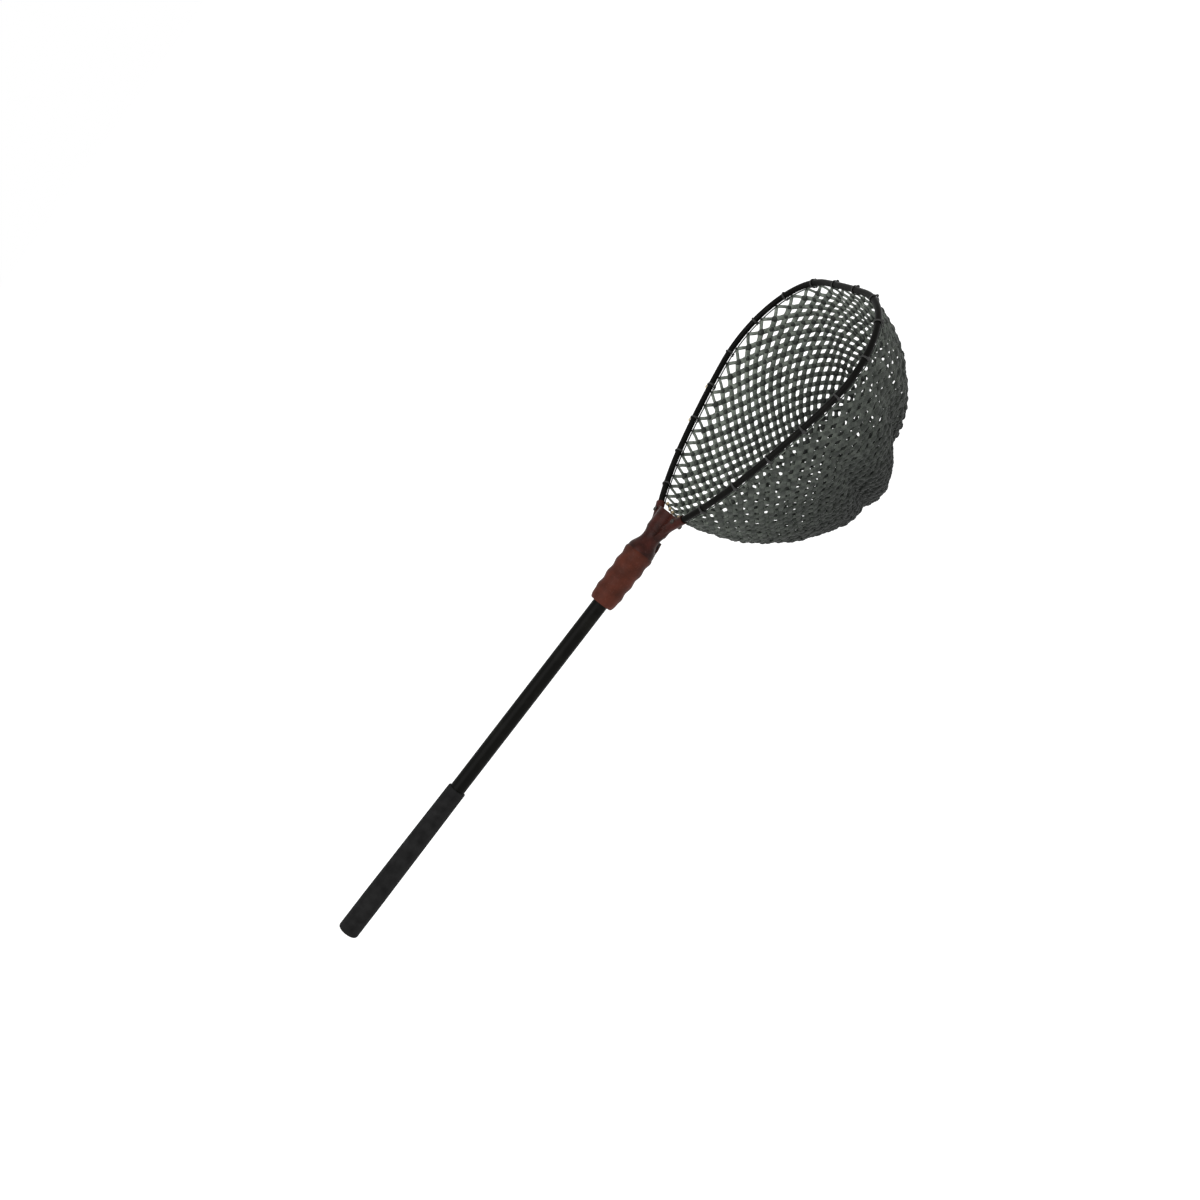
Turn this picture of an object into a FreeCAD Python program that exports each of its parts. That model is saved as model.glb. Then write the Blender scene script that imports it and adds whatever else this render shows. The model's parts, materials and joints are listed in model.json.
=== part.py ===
"""Landing net with a slide-through handle.

A black tube with a long rubber grip at its butt slides through a moulded yoke.
The yoke carries a ridged finger grip behind and a light tube hoop in front, and
a knotted net bag is laced to the hoop.  A trigger under the grip drops a nib
into a hole in the tube's keyway and so locks the head at either end of its slide.

Frame: +X runs along the tube to the hoop's tip, +Z is up with the net's mouth
uppermost, and the origin lies on the tube's axis, in the middle of the straight
stretch of the rear grip.  Sizes are in millimetres.
"""
import FreeCAD, Part
import math
import os

V = FreeCAD.Vector
AXIS = V(1, 0, 0)

# ---- driving dimensions ---------------------------------------------------
# tube
POLE_DIA = 25.4
POLE_WALL = 1.4
POLE_LENGTH = 812.0
KEYWAY_WIDTH = 5.0
KEYWAY_DEPTH = 1.2
# rear grip and the cap in the tube's butt
GRIP_SEAT_LENGTH = 60.0
GRIP_SEAT_WALL = 4.8
REAR_GRIP_LENGTH = 284.0
REAR_GRIP_FRONT_WALL = 2.9
REAR_GRIP_SHOULDER = 2.0
BUTT_CAP_THICKNESS = 6.0
BUTT_CAP_ROUND = 4.0
PLUG_SPIGOT = 24.0
# plug in the tube's front end, whose flange stops the slide
STOP_LIP = 1.6
STOP_THICKNESS = 4.0
PLUG_PIN_DIA = 3.0
PLUG_PIN_SETBACK = 10.0
# room left between the grips when the head is slid right back
SLIDE_REST_GAP = 9.7
# finger grip
GRIP_LENGTH = 100.0
GRIP_WALL_REAR = 4.8
GRIP_WALL_FRONT = 6.5
GRIP_END_WALL = 1.5
GRIP_END_CROWN = 0.6
GRIP_RIDGES = 4
GRIP_RIDGE_HEIGHT = 0.9
GRIP_RIDGE_END_MARGIN = 1.0
# yoke
BUSH_WALL = 2.3
BUSH_LENGTH = 20.0
BUSH_FLANGE = 2.0
CORE_WALL = 2.0
SHOULDER_WALL = 5.7
NECK_WALL = 2.1
NECK_LEAD = 27.0
HUB_WALL = 2.9
HUB_LEAD = 14.0
FRONT_BUSH_LEAD = 17.0
FAN_LEAD = 18.0
FAN_THICKNESS = 11.0
SOCKET_PROUD = 4.0
SOCKET_WALL = 2.2
SOCKET_DEPTH = 34.0
# hoop, by the direction and the arcs of one flank
HOOP_DIA = 10.0
HOOP_WALL = 1.2
HOOP_ROOT_HALF = 49.4
HOOP_ROOT_ANGLE = 44.2
ROOT_ARC_RADIUS = 439.0
ROOT_ARC_TURN = 15.3
FLANK_ARC_RADIUS = 1007.0
FLANK_ARC_TURN = 9.6
CORNER_RADIUS = 135.0
TIP_ARC_TURN = 2.5
# screws through the hoop's ends
SCREW_DIA = 4.0
SCREW_HEAD_DIA = 8.0
SCREW_HEAD_HEIGHT = 2.4
NUT_FLATS = 7.0
NUT_HEIGHT = 3.2
WASHER_DIA = 8.0
WASHER_THICKNESS = 0.8
SCREW_SETBACK = 17.0
SCREW_SLOT_WIDTH = 1.0
SCREW_RECESS = 1.0
# trigger
PIVOT_LEAD = 8.0
PIVOT_BELOW_CORE = 1.6
PIVOT_PIN_DIA = 3.0
PIVOT_PIN_LENGTH = 18.0
TRIGGER_WIDTH = 9.0
TRIGGER_THICKNESS = 3.0
TRIGGER_BOSS_DIA = 6.4
TRIGGER_ARM_LOW_BY = 0.6
TRIGGER_TAIL = 4.0
NIB_REACH = 18.0
NIB_SIZE = 4.0
NIB_ENTRY = 0.6
PAD_REACH = 22.0
PAD_KNEE_SHARE = 0.45
PAD_BELOW_PIVOT = 2.6
PAD_TIP_RISE = 2.4
PAD_TIP_THICKNESS = 1.4
LOCK_SLOT_LENGTH = 6.4
LOCK_SLOT_WIDTH = 4.6
SPRING_STRIP = 0.4
SPRING_FOOT = 8.0
SPRING_KNEE = 2.0
SPRING_REACH = 9.0
SPRING_DROP = 2.0
# net bag
BAG_DEPTH = 260.0
BAG_WALL = 2.0
BAG_LEVELS = ((0.0, 1.0), (0.2, 0.95), (0.4, 0.836), (0.6, 0.67), (0.8, 0.436), (0.92, 0.24), (1.0, 0.10))
BAG_LEAN = 0.18
BAG_FORWARD = 20.0
BAG_SECTION_POINTS = 9
CORNER_STEP = 6.0
HANGING_ROW = 14.0
RIM_START = 12.0
CORD_DIA = 2.0
TIE_DIA = 1.2
LACING_DIA = 1.6
LACING_PITCH = 62.0

# ---- clearances -----------------------------------------------------------
SLIDE_CLEARANCE = 0.06
KEY_CLEARANCE = 0.1
BORE_RELIEF = 0.35
STOP_GAP = 0.3
NIB_WINDOW_CLEARANCE = 1.6
POCKET_CLEARANCE = 2.0
PATH_CLEARANCE = 1.2
SOCKET_CLEARANCE = 0.05
SCREW_CLEARANCE = 0.1
PIVOT_CLEARANCE = 0.05
TRIGGER_SIDE_CLEARANCE = 0.7
SEAT_CLEARANCE = 0.03
SOFT_CLEARANCE = 0.3
LACING_CLEARANCE = 0.1

# ---- sizes worked out from the driving dimensions -------------------------
GRIP_SEAT_DIA = POLE_DIA + 2 * GRIP_SEAT_WALL
REAR_GRIP_FRONT_DIA = POLE_DIA + 2 * REAR_GRIP_FRONT_WALL
STOP_DIA = POLE_DIA + 2 * STOP_LIP
BUSH_DIA = POLE_DIA + 2 * BUSH_WALL
CORE_DIA = BUSH_DIA + 2 * CORE_WALL
GRIP_END_DIA = CORE_DIA + 2 * GRIP_END_WALL
GRIP_MEAN_DIA_REAR = CORE_DIA + 2 * GRIP_WALL_REAR
GRIP_MEAN_DIA_FRONT = CORE_DIA + 2 * GRIP_WALL_FRONT
GRIP_RIDGE_PITCH = GRIP_LENGTH / (GRIP_RIDGES + 1 / 6)
GRIP_FIRST_RIDGE = GRIP_RIDGE_PITCH - GRIP_RIDGE_END_MARGIN
SHOULDER_DIA = CORE_DIA + 2 * SHOULDER_WALL
NECK_DIA = POLE_DIA + 2 * NECK_WALL
HUB_DIA = BUSH_DIA + 2 * HUB_WALL
PIVOT_STATION = GRIP_LENGTH + PIVOT_LEAD
NECK_STATION = GRIP_LENGTH + NECK_LEAD
HUB_STATION = NECK_STATION + HUB_LEAD
FRONT_BUSH_STATION = HUB_STATION + FRONT_BUSH_LEAD
FAN_FRONT = FRONT_BUSH_STATION + FAN_LEAD
SOCKET_MOUTH = FAN_FRONT + SOCKET_PROUD
PIVOT_DROP = CORE_DIA / 2 + PIVOT_BELOW_CORE
PAD_DROP = PIVOT_DROP + PAD_BELOW_PIVOT
POLE_R = POLE_DIA / 2
NIB_TIP_DROP = POLE_R - NIB_ENTRY
POLE_BORE_R = POLE_R - POLE_WALL
HOOP_R = HOOP_DIA / 2
POLE_BUTT = -GRIP_SEAT_LENGTH / 2
POLE_FRONT = POLE_BUTT + POLE_LENGTH
HEAD = POLE_FRONT - FRONT_BUSH_STATION - STOP_GAP
REAR_GRIP_END = POLE_BUTT + REAR_GRIP_LENGTH
FRONT_FACE = HEAD + FAN_FRONT
MOUTH = HEAD + SOCKET_MOUTH
SLIDE_TRAVEL = HEAD - REAR_GRIP_END - SLIDE_REST_GAP
PATH_R = STOP_DIA / 2 + PATH_CLEARANCE
RELIEF_R = POLE_R + BORE_RELIEF
SOCKET_R = HOOP_R + SOCKET_WALL
SCREW_SEAT = SOCKET_R - SCREW_RECESS
NIB_X = HEAD + PIVOT_STATION - NIB_REACH
RIM_TOP = -HOOP_R - LACING_CLEARANCE - LACING_DIA - SOFT_CLEARANCE


# ---- small shapes ---------------------------------------------------------
def rod(x0, x1, radius, y=0.0, z=0.0):
    """Cylinder along X from x0 to x1."""
    return Part.makeCylinder(radius, x1 - x0, V(x0, y, z), AXIS)


def block(x0, x1, y0, y1, z0, z1):
    """Box between two corners."""
    return Part.makeBox(x1 - x0, y1 - y0, z1 - z0, V(x0, y0, z0))


def turned(edges):
    """Solid of revolution about the X axis from a closed profile in the XZ plane."""
    face = Part.Face(Part.Wire(edges))
    return face.revolve(V(0, 0, 0), AXIS, 360)


def lines(points):
    """Straight edges through (x, radius) points."""
    corners = [V(x, 0, r) for x, r in points]
    return [Part.LineSegment(a, b).toShape() for a, b in zip(corners, corners[1:])]


def smooth(points):
    """One smooth edge through (x, radius) points."""
    curve = Part.BSplineCurve()
    curve.interpolate([V(x, 0, r) for x, r in points])
    return curve.toShape()


def rounded(solid, radius, *rings):
    """Round the circular edges that lie at the given (x, edge radius) rings."""
    picked = []
    for edge in solid.Edges:
        curve = edge.Curve
        if not isinstance(curve, Part.Circle):
            continue
        for x, r in rings:
            if abs(curve.Center.x - x) < 1e-3 and abs(curve.Radius - r) < 1e-3:
                picked.append(edge)
    return solid.makeFillet(radius, picked)


def save(name, *solids):
    """Write one node's solids to its STEP file."""
    shape = solids[0] if len(solids) == 1 else Part.makeCompound(list(solids))
    shape.exportStep("parts/" + name + ".step")
    print(name, "solids", len(shape.Solids), "volume", round(shape.Volume, 1), "valid", shape.isValid())


# ---- the tube and what is fixed to it -------------------------------------
def keyway_rib(x0, x1, depth):
    """Rib that stands into the tube's bore behind the keyway, or the slot that clears it."""
    half = KEYWAY_WIDTH / 2 + POLE_WALL
    return block(x0, x1, -half, half, -POLE_R, -POLE_BORE_R + depth)


def pole_tube():
    outer = rod(POLE_BUTT, POLE_FRONT, POLE_R)
    half = KEYWAY_WIDTH / 2
    keyway = block(POLE_BUTT, POLE_FRONT, -half, half, -POLE_R - 1, -POLE_R + KEYWAY_DEPTH)
    bore = rod(POLE_BUTT, POLE_FRONT, POLE_BORE_R).cut(keyway_rib(POLE_BUTT, POLE_FRONT, KEYWAY_DEPTH))
    tube = outer.cut(keyway).cut(bore)
    for x in (NIB_X, NIB_X - SLIDE_TRAVEL):
        half_length = LOCK_SLOT_LENGTH / 2
        half_width = LOCK_SLOT_WIDTH / 2
        tube = tube.cut(block(x - half_length, x + half_length, -half_width, half_width, -POLE_R - 1, 0))
    pin_x = POLE_FRONT - PLUG_PIN_SETBACK
    return tube.cut(cross_pin(pin_x, PLUG_PIN_DIA / 2, POLE_R + 1))


def cross_pin(x, radius, half_length, z=0.0):
    """Pin along Y, centred on the XZ plane."""
    return Part.makeCylinder(radius, 2 * half_length, V(x, -half_length, z), V(0, 1, 0))


def rear_grip():
    seat_r = GRIP_SEAT_DIA / 2
    front_r = REAR_GRIP_FRONT_DIA / 2
    bore_r = POLE_R + SEAT_CLEARANCE
    profile = lines([
        (POLE_BUTT, bore_r), (POLE_BUTT, seat_r), (-POLE_BUTT, seat_r),
        (REAR_GRIP_END, front_r), (REAR_GRIP_END, bore_r), (POLE_BUTT, bore_r)])
    return rounded(turned(profile), REAR_GRIP_SHOULDER, (REAR_GRIP_END, front_r))


def butt_cap():
    seat_r = GRIP_SEAT_DIA / 2
    face = rod(POLE_BUTT - BUTT_CAP_THICKNESS, POLE_BUTT, seat_r)
    face = rounded(face, BUTT_CAP_ROUND, (POLE_BUTT - BUTT_CAP_THICKNESS, seat_r))
    spigot = rod(POLE_BUTT, POLE_BUTT + PLUG_SPIGOT, POLE_BORE_R)
    spigot = spigot.cut(keyway_rib(POLE_BUTT, POLE_BUTT + PLUG_SPIGOT, KEYWAY_DEPTH))
    return face.fuse(spigot).removeSplitter()


def pole_plug():
    flange = rod(POLE_FRONT, POLE_FRONT + STOP_THICKNESS, STOP_DIA / 2)
    flange = rounded(flange, STOP_THICKNESS / 4, (POLE_FRONT + STOP_THICKNESS, STOP_DIA / 2))
    spigot = rod(POLE_FRONT - PLUG_SPIGOT, POLE_FRONT, POLE_BORE_R)
    spigot = spigot.cut(keyway_rib(POLE_FRONT - PLUG_SPIGOT, POLE_FRONT, KEYWAY_DEPTH))
    plug = flange.fuse(spigot).removeSplitter()
    return plug.cut(cross_pin(POLE_FRONT - PLUG_PIN_SETBACK, PLUG_PIN_DIA / 2, POLE_R))


def plug_pin():
    half_length = math.sqrt(POLE_R ** 2 - (PLUG_PIN_DIA / 2) ** 2)
    return cross_pin(POLE_FRONT - PLUG_PIN_SETBACK, PLUG_PIN_DIA / 2, half_length)


# ---- finger grip and guide bushes -----------------------------------------
def grip_radius(station):
    """Outside radius of the finger grip: a slow taper with rounded ridges on it."""
    share = station / GRIP_LENGTH
    mean = (GRIP_MEAN_DIA_REAR * (1 - share) + GRIP_MEAN_DIA_FRONT * share) / 2
    turn = 2 * math.pi * (station - GRIP_FIRST_RIDGE) / GRIP_RIDGE_PITCH
    return mean + GRIP_RIDGE_HEIGHT * math.cos(turn)


def front_grip():
    last_ridge = GRIP_FIRST_RIDGE + (GRIP_RIDGES - 1) * GRIP_RIDGE_PITCH
    first_groove = GRIP_FIRST_RIDGE - GRIP_RIDGE_PITCH / 4
    step = GRIP_RIDGE_PITCH / 4
    count = int(round((last_ridge - first_groove) / step))
    ridges = [(first_groove + i * step, grip_radius(first_groove + i * step)) for i in range(count + 1)]
    end_r = GRIP_END_DIA / 2
    rise = [(HEAD, end_r), (HEAD + first_groove / 3, (end_r + ridges[0][1]) / 2 + GRIP_END_CROWN)]
    crown = rise + [(HEAD + s, r) for s, r in ridges] + [(HEAD + GRIP_LENGTH, SHOULDER_DIA / 2)]
    bore_r = CORE_DIA / 2 + SEAT_CLEARANCE
    end = HEAD + GRIP_LENGTH
    profile = [smooth(crown)]
    profile += lines([(end, SHOULDER_DIA / 2), (end, bore_r), (HEAD, bore_r), (HEAD, end_r)])
    return turned(profile).cut(trigger_pocket())


def bush_bore(x0, x1):
    """The running bore of a guide bush, with the key that keeps the head from turning."""
    half = KEYWAY_WIDTH / 2 - KEY_CLEARANCE
    key = block(x0, x1, -half, half, -BUSH_DIA / 2, -POLE_R + KEYWAY_DEPTH - KEY_CLEARANCE)
    return rod(x0, x1, POLE_R + SLIDE_CLEARANCE).cut(key)


def front_bush():
    x1 = HEAD + FRONT_BUSH_STATION
    x0 = x1 - BUSH_LENGTH
    return rod(x0, x1, BUSH_DIA / 2).cut(bush_bore(x0, x1))


def rear_bush():
    flange = rod(HEAD, HEAD + BUSH_FLANGE, CORE_DIA / 2)
    body = rod(HEAD, HEAD + BUSH_FLANGE + BUSH_LENGTH, BUSH_DIA / 2)
    return flange.fuse(body).cut(bush_bore(HEAD, HEAD + BUSH_FLANGE + BUSH_LENGTH)).removeSplitter()


# ---- hoop -----------------------------------------------------------------
def bend(points, radius, turn):
    """Add an arc that turns right by turn degrees to a [point, direction] course."""
    start, heading = points[-1]
    left = V(-math.sin(math.radians(heading)), math.cos(math.radians(heading)), 0)
    centre = start - left * radius
    stops = []
    for share in (0.5, 1.0):
        angle = math.radians(heading + 90 - turn * share)
        stops.append(centre + V(math.cos(angle), math.sin(angle), 0) * radius)
    points.append((stops[1], heading - turn))
    return Part.Arc(start, stops[0], stops[1]).toShape()


def flank_course():
    """Half of the hoop's centre line, from its end in the yoke to the tip on the X axis."""
    root = V(MOUTH, HOOP_ROOT_HALF, 0)
    heading = math.radians(HOOP_ROOT_ANGLE)
    inner = root - V(math.cos(heading), math.sin(heading), 0) * SOCKET_DEPTH
    course = [(root, HOOP_ROOT_ANGLE)]
    edges = [Part.LineSegment(inner, root).toShape()]
    edges.append(bend(course, ROOT_ARC_RADIUS, ROOT_ARC_TURN))
    edges.append(bend(course, FLANK_ARC_RADIUS, FLANK_ARC_TURN))
    corner_turn = HOOP_ROOT_ANGLE - ROOT_ARC_TURN - FLANK_ARC_TURN + 90 - TIP_ARC_TURN
    edges.append(bend(course, CORNER_RADIUS, corner_turn))
    tip_radius = course[-1][0].y / math.sin(math.radians(TIP_ARC_TURN))
    edges.append(bend(course, tip_radius, TIP_ARC_TURN))
    return edges


def mirrored(shape):
    """The other side of a shape, across the XZ plane."""
    return shape.mirror(V(0, 0, 0), V(0, 1, 0))


def hoop_wire():
    flank = flank_course()
    return Part.Wire(Part.sortEdges(flank + [mirrored(edge) for edge in flank])[0])


def swept(wire, radius):
    """Round bar along a wire that starts in a straight run."""
    start = wire.OrderedVertexes[0].Point
    edge = wire.OrderedEdges[0]
    tangent = edge.tangentAt(edge.FirstParameter)
    ring = Part.Wire(Part.makeCircle(radius, start, tangent))
    return wire.makePipeShell([ring], True, False, 2)


def socket_point(setback):
    """Point on the hoop's straight end, that far back from the socket's mouth."""
    heading = math.radians(HOOP_ROOT_ANGLE)
    return V(MOUTH, HOOP_ROOT_HALF, 0) - V(math.cos(heading), math.sin(heading), 0) * setback


def screw_axis_cut(radius):
    """Upright hole through both of the hoop's ends."""
    point = socket_point(SCREW_SETBACK)
    hole = Part.makeCylinder(radius, 4 * SOCKET_R, V(point.x, point.y, -2 * SOCKET_R))
    return [hole, mirrored(hole)]


def hoop():
    wire = hoop_wire()
    tube = swept(wire, HOOP_R).cut(swept(wire, HOOP_R - HOOP_WALL))
    return tube.cut(screw_axis_cut(SCREW_DIA / 2 + SCREW_CLEARANCE))


# ---- yoke -----------------------------------------------------------------
def trigger_pocket():
    """Room for the trigger under the grip and the yoke's shoulder."""
    half = TRIGGER_WIDTH / 2 + TRIGGER_SIDE_CLEARANCE
    pivot = HEAD + PIVOT_STATION
    boss_top = -PIVOT_DROP + TRIGGER_BOSS_DIA / 2 + SOFT_CLEARANCE
    rear = pivot - NIB_REACH - TRIGGER_BOSS_DIA
    return block(rear, pivot + PAD_REACH + POCKET_CLEARANCE, -half, half, -SHOULDER_DIA, boss_top)


def socket_bar(radius, depth, proud):
    """Bar along the hoop's straight end, from depth behind the socket's mouth to proud of it."""
    heading = math.radians(HOOP_ROOT_ANGLE)
    direction = V(math.cos(heading), math.sin(heading), 0)
    return Part.makeCylinder(radius, depth + proud, socket_point(depth), direction)


def yoke():
    shoulder_r = SHOULDER_DIA / 2
    neck_r = NECK_DIA / 2
    hub_r = HUB_DIA / 2
    core_r = CORE_DIA / 2
    start = HEAD + BUSH_FLANGE
    seam = HEAD + GRIP_LENGTH
    neck = HEAD + NECK_STATION
    fall = neck - seam
    shoulder = [
        (seam, shoulder_r), (seam + 0.2 * fall, shoulder_r - 0.4),
        (seam + 0.5 * fall, (shoulder_r + neck_r) / 2), (seam + 0.78 * fall, neck_r + 0.8),
        (neck, neck_r), (HEAD + HUB_STATION, hub_r)]
    profile = lines([(start, RELIEF_R), (start, core_r), (seam, core_r), (seam, shoulder_r)])
    profile += [smooth(shoulder)]
    hub = HEAD + HUB_STATION
    profile += lines([(hub, hub_r), (FRONT_FACE, hub_r), (FRONT_FACE, RELIEF_R), (start, RELIEF_R)])
    body = turned(profile)
    web_half = HOOP_ROOT_HALF - (SOCKET_MOUTH - FAN_FRONT) * math.tan(math.radians(HOOP_ROOT_ANGLE))
    corners = [
        V(neck, -neck_r + 1, 0), V(FRONT_FACE, -web_half, 0),
        V(FRONT_FACE, web_half, 0), V(neck, neck_r - 1, 0)]
    outline = Part.makePolygon(corners + corners[:1])
    web = Part.Face(outline).extrude(V(0, 0, FAN_THICKNESS))
    web.translate(V(0, 0, -FAN_THICKNESS / 2))
    boss = socket_bar(SOCKET_R, SOCKET_DEPTH + SOCKET_R, 0)
    body = body.fuse([web, boss, mirrored(boss)])
    bore = rod(start - 1, FRONT_FACE + 1, RELIEF_R)
    rear_seat = rod(start - 1, start + BUSH_LENGTH, BUSH_DIA / 2)
    front_seat = rod(HEAD + FRONT_BUSH_STATION - BUSH_LENGTH, FRONT_FACE + 1, BUSH_DIA / 2)
    socket = socket_bar(HOOP_R + SOCKET_CLEARANCE, SOCKET_DEPTH + SOFT_CLEARANCE, 2 * SOCKET_R)
    cuts = [bore, rear_seat, front_seat, socket, mirrored(socket), trigger_pocket()]
    cuts += screw_axis_cut(SCREW_DIA / 2 + SCREW_CLEARANCE)
    point = socket_point(SCREW_SETBACK)
    seat_r = SCREW_HEAD_DIA / 2 + SOFT_CLEARANCE
    for base in (SCREW_SEAT, -SCREW_SEAT - 2 * SOCKET_R):
        seat = Part.makeCylinder(seat_r, 2 * SOCKET_R, V(point.x, point.y, base))
        cuts += [seat, mirrored(seat)]
    half = NIB_SIZE / 2 + 2 * SOFT_CLEARANCE
    window = NIB_SIZE / 2 + NIB_WINDOW_CLEARANCE
    cuts.append(block(NIB_X - window, NIB_X + window, -half, half, -CORE_DIA, 0))
    cuts.append(cross_pin(HEAD + PIVOT_STATION, PIVOT_PIN_DIA / 2, SHOULDER_DIA, -PIVOT_DROP))
    return body.cut(cuts).removeSplitter()


def hoop_screws():
    point = socket_point(SCREW_SETBACK)
    head = Part.makeCylinder(SCREW_HEAD_DIA / 2, SCREW_HEAD_HEIGHT, V(point.x, point.y, SCREW_SEAT))
    top = SCREW_SEAT + SCREW_HEAD_HEIGHT
    crown = [e for e in head.Edges if isinstance(e.Curve, Part.Circle) and e.Curve.Center.z > top - 1e-3]
    head = head.makeFillet(SCREW_HEAD_HEIGHT / 3, crown)
    reach = SCREW_HEAD_DIA
    half = SCREW_SLOT_WIDTH / 2
    slot = block(point.x - reach, point.x + reach, point.y - half, point.y + half, top - 1, top + 1)
    shank_length = 2 * SCREW_SEAT + WASHER_THICKNESS + NUT_HEIGHT
    shank = Part.makeCylinder(SCREW_DIA / 2, shank_length, V(point.x, point.y, SCREW_SEAT - shank_length))
    screw = head.cut(slot).fuse(shank).removeSplitter()
    return screw, mirrored(screw)


def hoop_nuts():
    point = socket_point(SCREW_SETBACK)
    seat = -SCREW_SEAT - WASHER_THICKNESS
    corner = NUT_FLATS / 2 / math.cos(math.radians(30))
    ring = []
    for k in range(7):
        angle = math.radians(60 * k)
        ring.append(V(point.x + corner * math.cos(angle), point.y + corner * math.sin(angle), seat))
    nut = Part.Face(Part.makePolygon(ring)).extrude(V(0, 0, -NUT_HEIGHT))
    hole = Part.makeCylinder(SCREW_DIA / 2, NUT_HEIGHT, V(point.x, point.y, seat - NUT_HEIGHT))
    nut = nut.cut(hole)
    return nut, mirrored(nut)


def hoop_washers():
    point = socket_point(SCREW_SETBACK)
    base = V(point.x, point.y, -SCREW_SEAT - WASHER_THICKNESS)
    disc = Part.makeCylinder(WASHER_DIA / 2, WASHER_THICKNESS, base)
    washer = disc.cut(Part.makeCylinder(SCREW_DIA / 2 + SCREW_CLEARANCE, WASHER_THICKNESS, base))
    return washer, mirrored(washer)


# ---- trigger --------------------------------------------------------------
def trigger():
    pivot = HEAD + PIVOT_STATION
    half = TRIGGER_WIDTH / 2
    arm_low = -PIVOT_DROP - TRIGGER_THICKNESS
    arm_top = -PIVOT_DROP - TRIGGER_ARM_LOW_BY
    arm = block(pivot - NIB_REACH - TRIGGER_TAIL, pivot, -half, half, arm_low, arm_top)
    nib_half = NIB_SIZE / 2
    nib = block(NIB_X - nib_half, NIB_X + nib_half, -nib_half, nib_half, arm_low, -NIB_TIP_DROP)
    boss = cross_pin(pivot, TRIGGER_BOSS_DIA / 2, half, -PIVOT_DROP)
    tip = pivot + PAD_REACH
    tip_low = -PAD_DROP + PAD_TIP_RISE
    pad_side = [
        V(pivot, -half, -PIVOT_DROP), V(pivot, -half, arm_low),
        V(pivot + PAD_KNEE_SHARE * PAD_REACH, -half, -PAD_DROP),
        V(tip, -half, tip_low), V(tip, -half, tip_low + PAD_TIP_THICKNESS)]
    pad = Part.Face(Part.makePolygon(pad_side + pad_side[:1])).extrude(V(0, TRIGGER_WIDTH, 0))
    bore = cross_pin(pivot, PIVOT_PIN_DIA / 2 + PIVOT_CLEARANCE, half + 1, -PIVOT_DROP)
    return arm.fuse([nib, boss, pad]).cut(bore).removeSplitter()


def trigger_pin():
    return cross_pin(HEAD + PIVOT_STATION, PIVOT_PIN_DIA / 2, PIVOT_PIN_LENGTH / 2, -PIVOT_DROP)


def trigger_spring():
    """Bent leaf between the roof of the pocket and the trigger's pad."""
    roof = -PIVOT_DROP + TRIGGER_BOSS_DIA / 2 + SOFT_CLEARANCE
    x0 = HEAD + PIVOT_STATION + TRIGGER_BOSS_DIA / 2 + SOFT_CLEARANCE
    top = roof - SPRING_STRIP / 4
    foot = x0 + SPRING_FOOT
    end = x0 + SPRING_REACH
    low = top - SPRING_DROP
    side = [
        V(x0, 0, top), V(foot, 0, top), V(foot, 0, top - SPRING_STRIP),
        V(x0 + SPRING_KNEE, 0, top - SPRING_STRIP),
        V(end, 0, low), V(end, 0, low - SPRING_STRIP), V(x0, 0, top - SPRING_STRIP)]
    width = TRIGGER_WIDTH * 2 / 3
    leaf = Part.Face(Part.makePolygon(side + side[:1])).extrude(V(0, width, 0))
    leaf.translate(V(0, -width / 2, 0))
    return leaf


# ---- net bag and what ties it ---------------------------------------------
def rim_flank():
    """The hoop's centre line on one side, from the socket's mouth to the tip."""
    return Part.Wire(flank_course()[1:])


def rim_points():
    """Points evenly round the hoop's centre line, closed by a chord in front of the yoke."""
    flank = rim_flank()
    count = BAG_SECTION_POINTS
    step = (flank.Length - RIM_START) / (count - 1)
    distances = [RIM_START, RIM_START + CORNER_STEP] + [RIM_START + k * step for k in range(1, count)]
    side = [place_on(flank, distance)[0] for distance in distances]
    x, half = side[0].x, side[0].y
    side = [V(x, half / 2, 0), V(x, half - CORNER_STEP, 0)] + side
    other = [V(p.x, -p.y, 0) for p in side[:-1]]
    return [V(x, 0, 0)] + side + other[::-1]


def bag_form(inset):
    """Lofted bag: the rim's outline, drawn in and leaned step by step towards the bottom."""
    rim = rim_points()
    centre = V((rim[0].x + max(p.x for p in rim)) / 2, 0, 0)
    half_width = max(p.y for p in rim)
    sections = []
    for share, size in BAG_LEVELS:
        drop = share * (BAG_DEPTH - inset + RIM_TOP)
        factor = size - inset / half_width
        ring = []
        for p in rim:
            out = (p - centre) * factor
            z = RIM_TOP - drop * (1 - BAG_LEAN * out.x / half_width)
            ring.append(centre + out + V(BAG_FORWARD * share ** 1.5, 0, z))
        curve = Part.BSplineCurve()
        curve.interpolate(Points=ring, PeriodicFlag=True)
        sections.append(Part.Wire(curve.toShape()))
    return Part.makeLoft(sections, True, False)


def bag_shell():
    """The whole wall of netting, notched where the tube slides out over the mouth."""
    shell = bag_form(0.0).cut(bag_form(BAG_WALL))
    return shell.cut(rod(HEAD, MOUTH + HOOP_ROOT_HALF, PATH_R + CORD_DIA + SOFT_CLEARANCE))


def slab_over_bag(z):
    """Everything of the bag above a height."""
    box = bag_form(0.0).BoundBox
    return block(box.XMin - 1, box.XMax + 1, box.YMin - 1, box.YMax + 1, z, POLE_DIA)


def hanging_row():
    """Long meshes between the hoop and the first row of knots."""
    return bag_shell().common(slab_over_bag(RIM_TOP - HANGING_ROW))


def net_bag():
    return bag_shell().cut(slab_over_bag(RIM_TOP - HANGING_ROW - SOFT_CLEARANCE))


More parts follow.
